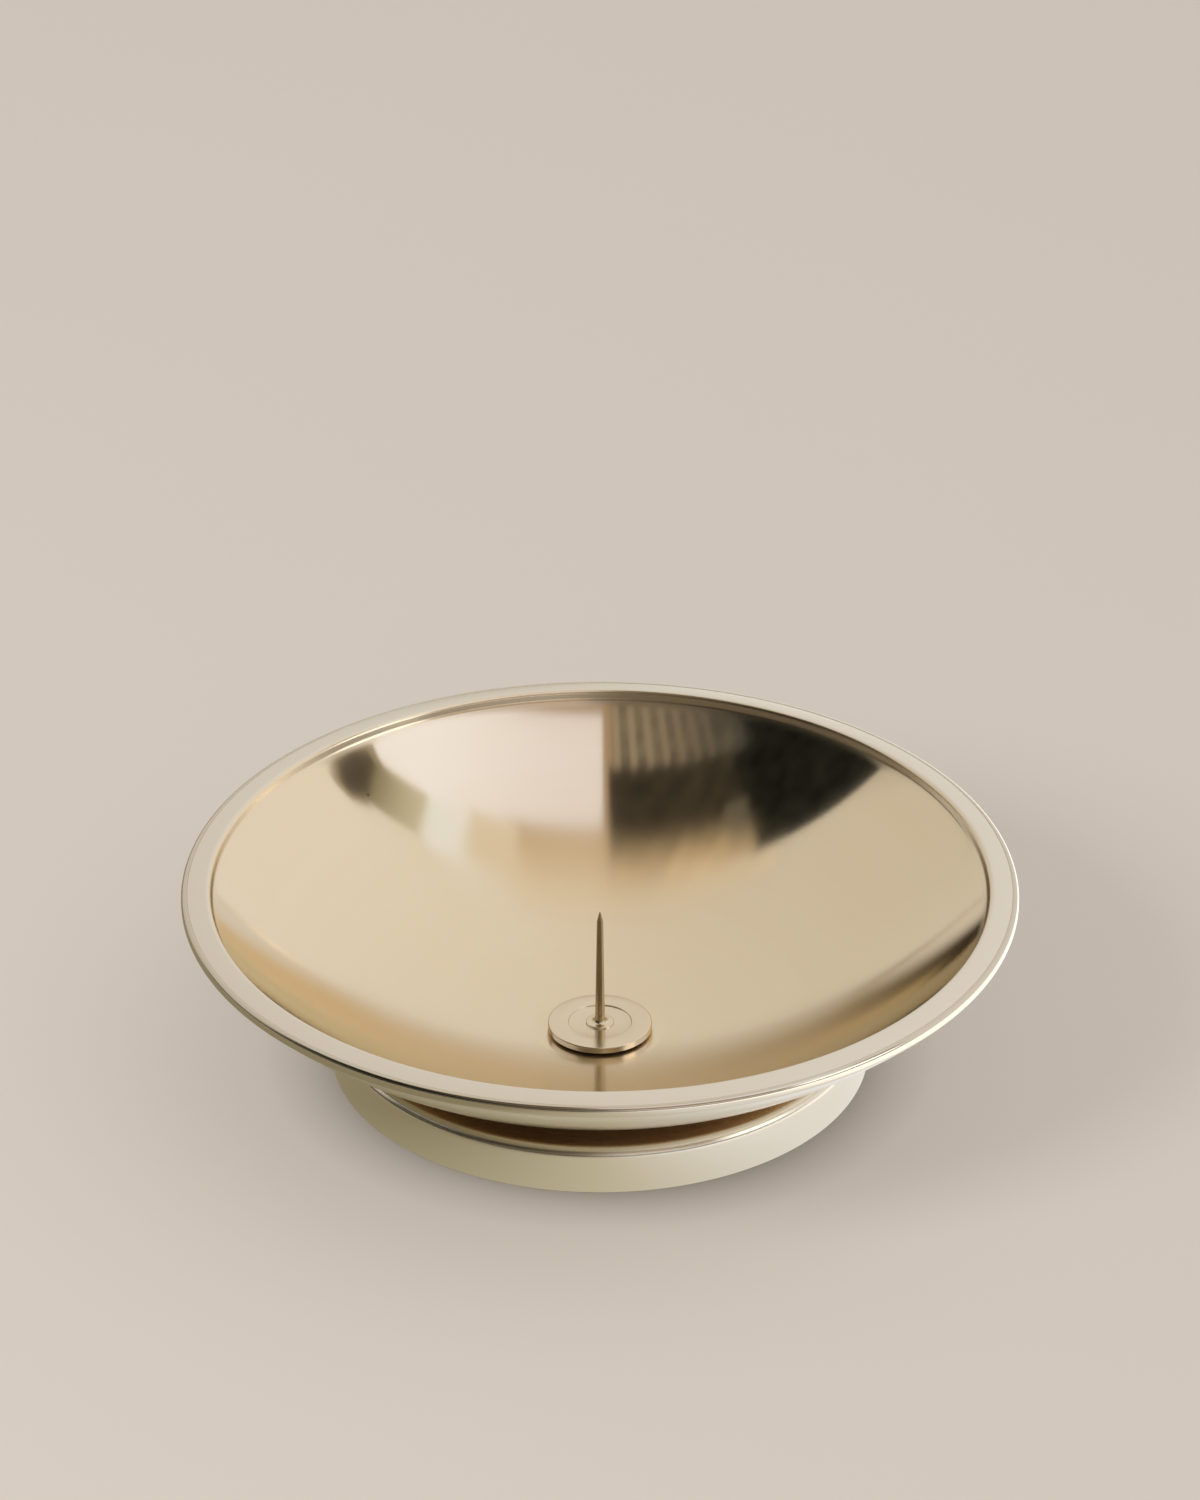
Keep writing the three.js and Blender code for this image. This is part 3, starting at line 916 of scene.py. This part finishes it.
world = bpy.data.worlds.new("room")
bpy.context.scene.world = world
world.use_nodes = True
sky = world.node_tree
room = sky.nodes["Background"]
way = new_node(sky, "ShaderNodeTexCoord", (-1200, 0))
aim = new_node(sky, "ShaderNodeSeparateXYZ", (-1000, 0))
sky.links.new(way.outputs["Generated"], aim.inputs[0])
to_the_right = fade(sky, aim.outputs["X"], (-800, 200), -1.0, 1.0)
both_sides = blend(sky, to_the_right, (-600, 200), room_left, room_right)
mirrors = new_node(sky, "ShaderNodeLightPath", (-600, -300))
above_floor = fade(sky, aim.outputs["Z"], (-800, -200), *floor_line)


def side_mask(aim_way, row, sides, heights):
    """Where the metal mirrors the room in one direction, up to a height."""
    side = new_node(sky, "ShaderNodeVectorMath", (-1000, row), operation="DOT_PRODUCT")
    side.inputs[1].default_value = aim_way
    sky.links.new(way.outputs["Generated"], side.inputs[0])
    mask = mirrors.outputs["Is Glossy Ray"]
    towards = fade(sky, side.outputs["Value"], (-800, row), *sides)
    below = fade(sky, aim.outputs["Z"], (-800, row - 100), *heights)
    for place, limit in enumerate((above_floor, towards, below)):
        product = new_node(sky, "ShaderNodeMath", (-600 + 100 * place, row), operation="MULTIPLY")
        sky.links.new(mask, product.inputs[0])
        sky.links.new(limit, product.inputs[1])
        mask = product.outputs[0]
    return mask


brown_mask = side_mask(brown_way, -400, brown_sides, brown_heights)
browned = blend(sky, brown_mask, (-300, 100), both_sides, room_brown)
dark_mask = side_mask(dark_way, -700, dark_sides, dark_heights)
lit = blend(sky, dark_mask, (-200, 100), browned, room_dark)
sky.links.new(blend(sky, mirrors.outputs["Is Camera Ray"], (0, 100), lit, room_seen), room.inputs["Color"])

overhead("flag_behind", [(-2.8, -1.6), (0.12, -1.6), (0.06, -0.60), (-0.60, -0.60), (-2.8, -0.9)],
         glowing("flag_behind", flag_worn, flag_black, "X", -0.15, -0.8))
overhead("border_behind", [(0.06, -1.6), (1.6, -1.6), (1.6, -0.60), (0.05, -0.60)],
         glowing("border_behind", border_tan))
overhead("flag_left", [(-2.8, -0.95), (-0.58, -0.95), (-0.58, -0.28), (-0.50, -0.24), (-0.52, 0.225),
                       (-1.25, 0.24), (-2.8, 0.32)],
         glowing("flag_left", flag_black, flag_olive, "X", -1.1, -1.8, 0.9), 2)
overhead("flag_middle", [(-0.60, -0.30), (-0.030, -0.27), (-0.030, 0.22), (-0.60, 0.22)],
         glowing("flag_middle", flag_brown, ceiling_tan, "Y", -0.02, 0.22, 0.35), 1)
overhead("flag_gap", [(-0.52, -0.04), (-0.42, -0.04), (-0.42, 0.20), (-0.52, 0.225)],
         glowing("flag_gap", flag_gap, ceiling_tan, "Y", 0.04, 0.24), 2)
overhead("ceiling", [(-0.60, 0.0), (0.27, 0.0), (0.27, 0.34), (-0.60, 0.34)],
         glowing("ceiling", ceiling_tan, ceiling_cream, "Y", 0.04, 0.26), -1)
overhead("ceiling_right", [(0.26, 0.0), (0.44, 0.0), (0.44, 0.20), (0.26, 0.24)],
         glowing("ceiling_right", ceiling_cream))
overhead("border", [(-0.06, -0.60), (0.62, -0.60), (0.62, -0.30), (0.30, 0.0), (-0.06, 0.0)],
         glowing("border", border_tan))
overhead("panel", [(-0.010, -0.51), (0.92, -0.51), (1.02, -0.13), (0.92, -0.05), (0.60, -0.01),
                   (-0.010, -0.01)],
         glowing("panel", panel_near, panel_far, "X", 0.0, 0.75), 3)
overhead("panel_small", [(0.43, -0.03), (0.62, -0.03), (0.61, 0.24), (0.46, 0.24)],
         glowing("panel_small", patch_white), 2)
overhead("tail", [(0.62, 0.0), (0.95, -0.04), (0.95, 0.19), (0.64, 0.20)],
         glowing("tail", tail_pale, tail_olive, "X", 0.64, 0.95), 1)
overhead("spot_halo", [(0.90, -0.10), (1.03, -0.13), (1.20, -0.05), (1.27, 0.10), (1.20, 0.23),
                       (1.02, 0.25), (0.90, 0.21)],
         glowing("spot_halo", spot_halo), 1)
overhead("spot", [(0.93, -0.02), (1.02, -0.06), (1.15, 0.0), (1.19, 0.10), (1.13, 0.20),
                  (1.02, 0.22), (0.92, 0.17)],
         glowing("spot", spot_brown), 2)
overhead("screen", [(-0.62, -0.60), (-0.044, -0.60), (-0.044, -0.258), (-0.62, -0.258)],
         glowing("screen", screen_near, screen_far, "X", -0.10, -0.58, 0.3), 2)
overhead("screen_gap", [(-0.53, -0.38), (-0.49, -0.36), (-0.47, -0.27), (-0.52, -0.29)],
         glowing("screen_gap", flag_gap), 3)
slat_count = 7
slat_pitch = 0.0605
slat_width = 0.026
first_slat = -0.048
slat_front = -0.58
slat_back = -0.262
slat_paint = glowing("slat", slat_light, screen_near, "X", -0.06, -0.52)
for slat in range(slat_count):
    near = first_slat - slat * slat_pitch
    far = near - slat_width
    slat_corners = [(far, slat_front), (near, slat_front), (near, slat_back), (far, slat_back)]
    overhead(f"slat_{slat}", slat_corners, slat_paint, 3)

streak_straight = 0.65
streak_sides = (-1.7, 0.95)
streak_start = (0.2, 0.7)
streak_end = (0.75, 1.35)
streak_left_end = (-1.3, -1.7)
streak_before = ((0.84, 0.88, 0.96), (0.90, 0.98, 1.15))
streak_middle = ((0.03, 0.022, 0.008), (0.81, 0.70, 0.52))
streak_after = ((0.485, 0.39, 0.225), (0.77, 0.68, 0.51))
third_mirror = ((0.39, 0.37, 0.29), (0.77, 0.78, 0.67))
third_left_end = (0.30, 0.28, 0.22)
front_lean = 0.5
front_start = (0.05, -0.25)
front_width = (1.3, 1.0)
front_brown = (0.20, 0.16, 0.10)


def second_mirror(name):
    """Light for the second and later mirrorings, as where the bowl mirrors its own far wall.

    A dark streak runs across it, bent at both ends, with pale light in front of it and brown light behind.
    All of it is darker to the left. The pin mirrors a brown patch at the front.
    """
    material = bpy.data.materials.new(name)
    material.use_nodes = True
    tree = material.node_tree
    tree.nodes.remove(tree.nodes["Principled BSDF"])
    link = tree.links.new
    coords = new_node(tree, "ShaderNodeTexCoord", (-1800, 0))
    share = new_node(tree, "ShaderNodeVectorMath", (-1600, 0), operation="SCALE")
    share.inputs["Scale"].default_value = 1 / panel_height
    apart = new_node(tree, "ShaderNodeSeparateXYZ", (-1400, 0))
    aside = new_node(tree, "ShaderNodeMath", (-1200, -200), operation="ABSOLUTE")
    bent = new_node(tree, "ShaderNodeMath", (-1100, -200), operation="SUBTRACT", use_clamp=True)
    bent.inputs[1].default_value = streak_straight
    across = new_node(tree, "ShaderNodeMath", (-1000, -200), operation="SUBTRACT")
    link(coords.outputs["Object"], share.inputs[0])
    link(share.outputs[0], apart.inputs[0])
    link(apart.outputs["X"], aside.inputs[0])
    link(aside.outputs[0], bent.inputs[0])
    link(apart.outputs["Y"], across.inputs[0])
    link(bent.outputs[0], across.inputs[1])
    to_right = fade(tree, apart.outputs["X"], (-1000, 200), *streak_sides)
    before = blend(tree, to_right, (-700, 300), *streak_before)
    middle = blend(tree, to_right, (-700, 100), *streak_middle)
    after = blend(tree, to_right, (-700, -100), *streak_after)
    third = blend(tree, to_right, (-700, -300), *third_mirror)
    left_end = fade(tree, apart.outputs["X"], (-1000, 400), *streak_left_end)
    after = blend(tree, left_end, (-500, -100), after, streak_middle[0])
    third = blend(tree, left_end, (-500, -300), third, third_left_end)
    into = fade(tree, across.outputs[0], (-800, -400), *streak_start)
    out_of = fade(tree, across.outputs[0], (-800, -600), *streak_end)
    colour = blend(tree, into, (-500, 200), before, middle)
    colour = blend(tree, out_of, (-300, 200), colour, after)
    forward = new_node(tree, "ShaderNodeMath", (-1000, -800), operation="MULTIPLY_ADD")
    forward.inputs[1].default_value = front_lean
    link(apart.outputs["X"], forward.inputs[0])
    link(apart.outputs["Y"], forward.inputs[2])
    front = new_node(tree, "ShaderNodeMath", (-600, -800), operation="MULTIPLY")
    link(fade(tree, forward.outputs[0], (-800, -800), *front_start), front.inputs[0])
    link(fade(tree, aside.outputs[0], (-800, -1000), *front_width), front.inputs[1])
    colour = blend(tree, front.outputs[0], (-200, 200), colour, front_brown)
    ray = new_node(tree, "ShaderNodeLightPath", (-500, 500))
    light = new_node(tree, "ShaderNodeEmission", (0, -100))
    clear = new_node(tree, "ShaderNodeBsdfTransparent", (0, 100))
    veil = new_node(tree, "ShaderNodeMixShader", (200, 0))
    more_than = {}
    for times in (1, 2):
        more = new_node(tree, "ShaderNodeMath", (-300, 450 + 100 * times), operation="GREATER_THAN")
        more.inputs[1].default_value = times + 0.5
        link(ray.outputs["Ray Depth"], more.inputs[0])
        more_than[times] = more.outputs[0]
    link(blend(tree, more_than[2], (-100, 200), colour, third), light.inputs["Color"])
    link(more_than[1], veil.inputs["Fac"])
    link(clear.outputs[0], veil.inputs[1])
    link(light.outputs[0], veil.inputs[2])
    link(veil.outputs[0], tree.nodes["Material Output"].inputs["Surface"])
    return material


overhead("veil", [(-3.5, -1.2), (3.5, -1.2), (3.5, 3.2), (-3.5, 3.2)], second_mirror("veil"), 6)

window_corners = [(3.0, -2.2, 0.9), (3.0, -0.3, 0.9), (3.0, -0.3, 2.4), (3.0, -2.2, 2.4)]
window = sheet("window", window_corners, glowing("window", window_white))
window.visible_diffuse = False
window.visible_shadow = False

side_lamp = bpy.data.lights.new("side_lamp", "AREA")
side_lamp.shape = "RECTANGLE"
side_lamp.size = lamp_width
side_lamp.size_y = lamp_length
side_lamp.color = lamp_white
side_lamp.energy = lamp_power
side_lamp_stand = bpy.data.objects.new("side_lamp", side_lamp)
bpy.context.scene.collection.objects.link(side_lamp_stand)
side_lamp_stand.location = lamp_place
side_lamp_stand.rotation_euler = (lamp_aim - lamp_place).to_track_quat("-Z", "Y").to_euler()
side_lamp_stand.visible_glossy = False


# Camera: a long lens about 2.3 m away, in line with the middle of the dish, that looks down by 30 degrees.
# The picture's colours are the plain ones.
camera_place = (0, -1.9687, 1.2089)
camera_pitch = math.radians(30.12)
camera = bpy.data.cameras.new("camera")
camera.lens = 288
camera.sensor_width = 36
camera.clip_end = 50
camera_stand = bpy.data.objects.new("camera", camera)
bpy.context.scene.collection.objects.link(camera_stand)
camera_stand.location = camera_place
camera_stand.rotation_euler = (math.pi / 2 - camera_pitch, 0, 0)
bpy.context.scene.camera = camera_stand
bpy.context.scene.view_settings.view_transform = "Standard"
